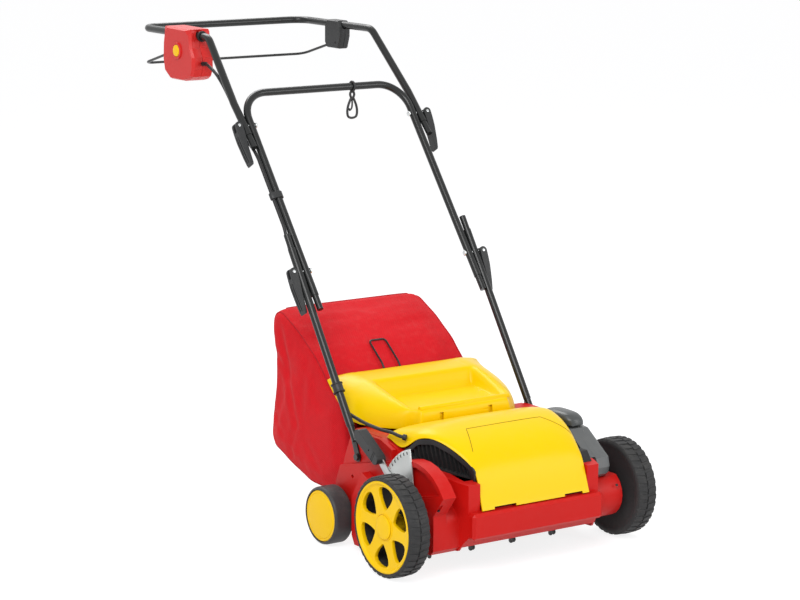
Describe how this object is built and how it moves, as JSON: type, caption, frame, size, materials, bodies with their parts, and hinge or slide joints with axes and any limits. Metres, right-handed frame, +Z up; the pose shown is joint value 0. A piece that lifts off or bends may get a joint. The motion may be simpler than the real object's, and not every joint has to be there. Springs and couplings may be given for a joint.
{
  "type": "electric lawn scarifier",
  "caption": "Push lawn scarifier with a moulded chassis over a bladed drum, folding tube handle with bail and switch box, depth lever, wheels and a rear collecting bag.",
  "frame": {"origin": "centre of the bounding box on the ground, under the wheels", "axes": "+Z up, +Y from the front wheels to the handle, +X to the viewer's right when facing the front"},
  "size_m": [0.602, 1.196, 0.985],
  "materials": {
    "housing_red": "moulded, fine grain",
    "cover_yellow": "moulded, smooth",
    "cover_grey": "moulded, satin",
    "plastic_black": "moulded",
    "tube_black": "gloss black powder coat",
    "steel_zinc": "zinc plated",
    "steel_tine": "hardened, dark",
    "motor_grey": "cast",
    "tyre_black": "moulded",
    "rubber_black": "extruded",
    "bag_cloth": "woven polyester"
  },
  "bodies": {
    "chassis": {"chassis_housing": "housing_red", "motor_cover": "cover_yellow", "air_grille": "plastic_black", "belt_cover": "cover_grey", "motor_end_cap": "cover_grey", "flap_hinge_rod": "steel_zinc", "motor_body": "motor_grey", "drive_belt": "rubber_black", "bearing_left": "steel_zinc", "bearing_right": "steel_zinc", "rear_axle": "steel_zinc", "sector_plate": "steel_zinc", "lower_tube_left": "tube_black", "lower_tube_right": "tube_black", "foot_bolt_left": "tube_black", "foot_bolt_right": "tube_black", "cam_bolt_lower_left": "steel_zinc", "cam_bolt_lower_right": "steel_zinc", "lead_lower": "rubber_black", "lead_grommet": "rubber_black", "cable_clamp": "cover_grey"},
    "height_crank": {"crank_axle": "steel_zinc", "height_lever": "steel_zinc", "height_grip": "cover_grey"},
    "front_left": {"front_wheel_left": "plastic_black", "wheel_trim_left": "cover_yellow", "front_hub_cap_left": "cover_yellow"},
    "front_right": {"front_wheel_right": "plastic_black", "wheel_trim_right": "cover_yellow", "front_hub_cap_right": "cover_yellow"},
    "rear_left": {"rear_tyre_left": "tyre_black", "rear_wheel_left": "cover_yellow"},
    "rear_right": {"rear_tyre_right": "tyre_black", "rear_wheel_right": "cover_yellow"},
    "blade_drum": {"blade_shaft": "steel_zinc", "blade_set": "steel_tine", "blade_pulley": "steel_zinc"},
    "motor_rotor": {"motor_shaft": "steel_zinc", "motor_fan": "plastic_black", "motor_pulley": "steel_zinc"},
    "flap": {"rear_flap": "cover_yellow"},
    "bag": {"bag_fabric": "bag_cloth", "bag_frame": "tube_black", "bag_handle": "tube_black"},
    "middle_handle": {"middle_tube": "tube_black", "lead_middle": "rubber_black", "cable_clip": "cover_grey"},
    "upper_handle": {"upper_tube": "tube_black", "switch_box": "housing_red", "bail_bearing": "cover_grey", "lead_upper": "rubber_black", "cam_bolt_upper_left": "steel_zinc", "cam_bolt_upper_right": "steel_zinc"},
    "clamp_lower_left": {"cam_lever_lower_left": "cover_grey"},
    "clamp_lower_right": {"cam_lever_lower_right": "cover_grey"},
    "clamp_upper_left": {"cam_lever_upper_left": "cover_grey"},
    "clamp_upper_right": {"cam_lever_upper_right": "cover_grey"},
    "bail": {"bail_wire": "tube_black"},
    "start_button": {"safety_button": "cover_yellow"},
    "hook": {"cable_hook": "cover_grey"}
  },
  "joints": [
    {"name": "height_adjust", "type": "hinge", "parent": "chassis", "child": "height_crank", "pos_m": [0, -0.52155, 0.11], "axis": [1, 0, 0], "range_deg": [0, 37]},
    {"name": "front_left_roll", "type": "hinge", "parent": "height_crank", "child": "front_left", "pos_m": [-0.277, -0.49405, 0.1], "axis": [1, 0, 0], "continuous": true},
    {"name": "front_right_roll", "type": "hinge", "parent": "height_crank", "child": "front_right", "pos_m": [0.277, -0.49405, 0.1], "axis": [1, 0, 0], "continuous": true},
    {"name": "rear_left_roll", "type": "hinge", "parent": "chassis", "child": "rear_left", "pos_m": [-0.25225, -0.23305, 0.0586], "axis": [1, 0, 0], "continuous": true},
    {"name": "rear_right_roll", "type": "hinge", "parent": "chassis", "child": "rear_right", "pos_m": [0.25225, -0.23305, 0.0586], "axis": [1, 0, 0], "continuous": true},
    {"name": "blade_spin", "type": "hinge", "parent": "chassis", "child": "blade_drum", "pos_m": [0, -0.44055, 0.066], "axis": [1, 0, 0], "continuous": true},
    {"name": "motor_spin", "type": "hinge", "parent": "chassis", "child": "motor_rotor", "pos_m": [0, -0.44655, 0.2], "axis": [1, 0, 0], "continuous": true},
    {"name": "flap_lift", "type": "hinge", "parent": "chassis", "child": "flap", "pos_m": [0, -0.34205, 0.262], "axis": [1, 0, 0], "range_deg": [0, 75], "stiffness_Nm_per_rad": 0.5, "springref_deg": -11.46},
    {"name": "bag_unhook", "type": "slide", "parent": "chassis", "child": "bag", "axis": [0, 1, 0], "range_m": [0, 0.15]},
    {"name": "middle_fold", "type": "hinge", "parent": "chassis", "child": "middle_handle", "pos_m": [0, -0.07295, 0.5252], "axis": [1, 0, 0], "range_deg": [0, 140]},
    {"name": "upper_fold", "type": "hinge", "parent": "middle_handle", "child": "upper_handle", "pos_m": [0, 0.13768, 0.7997], "axis": [1, 0, 0], "range_deg": [-100, 0]},
    {"name": "clamp_lower_left_open", "type": "hinge", "parent": "chassis", "child": "clamp_lower_left", "pos_m": [-0.237, -0.07295, 0.5252], "axis": [0, 0.9063, -0.4226], "range_deg": [0, 100]},
    {"name": "clamp_lower_right_open", "type": "hinge", "parent": "chassis", "child": "clamp_lower_right", "pos_m": [0.237, -0.07295, 0.5252], "axis": [0, -0.9063, 0.4226], "range_deg": [0, 100]},
    {"name": "clamp_upper_left_open", "type": "hinge", "parent": "upper_handle", "child": "clamp_upper_left", "pos_m": [-0.237, 0.13768, 0.7997], "axis": [0, 0.866, -0.5], "range_deg": [0, 100]},
    {"name": "clamp_upper_right_open", "type": "hinge", "parent": "upper_handle", "child": "clamp_upper_right", "pos_m": [0.237, 0.13768, 0.7997], "axis": [0, -0.866, 0.5], "range_deg": [0, 100]},
    {"name": "bail_squeeze", "type": "hinge", "parent": "upper_handle", "child": "bail", "pos_m": [0, 0.44955, 0.93002], "axis": [1, 0, 0], "range_deg": [0, 26], "stiffness_Nm_per_rad": 1, "springref_deg": -17.19},
    {"name": "button_press", "type": "slide", "parent": "upper_handle", "child": "start_button", "axis": [1, 0, 0], "range_m": [0, 0.004], "stiffness_N_per_m": 600, "springref_m": -0.002},
    {"name": "hook_slide", "type": "slide", "parent": "middle_handle", "child": "hook", "axis": [1, 0, 0], "range_m": [-0.12, 0.05]}
  ],
  "couplings": [
    {"joint": "motor_spin", "follows": "blade_spin", "ratio": 1.6667}
  ]
}
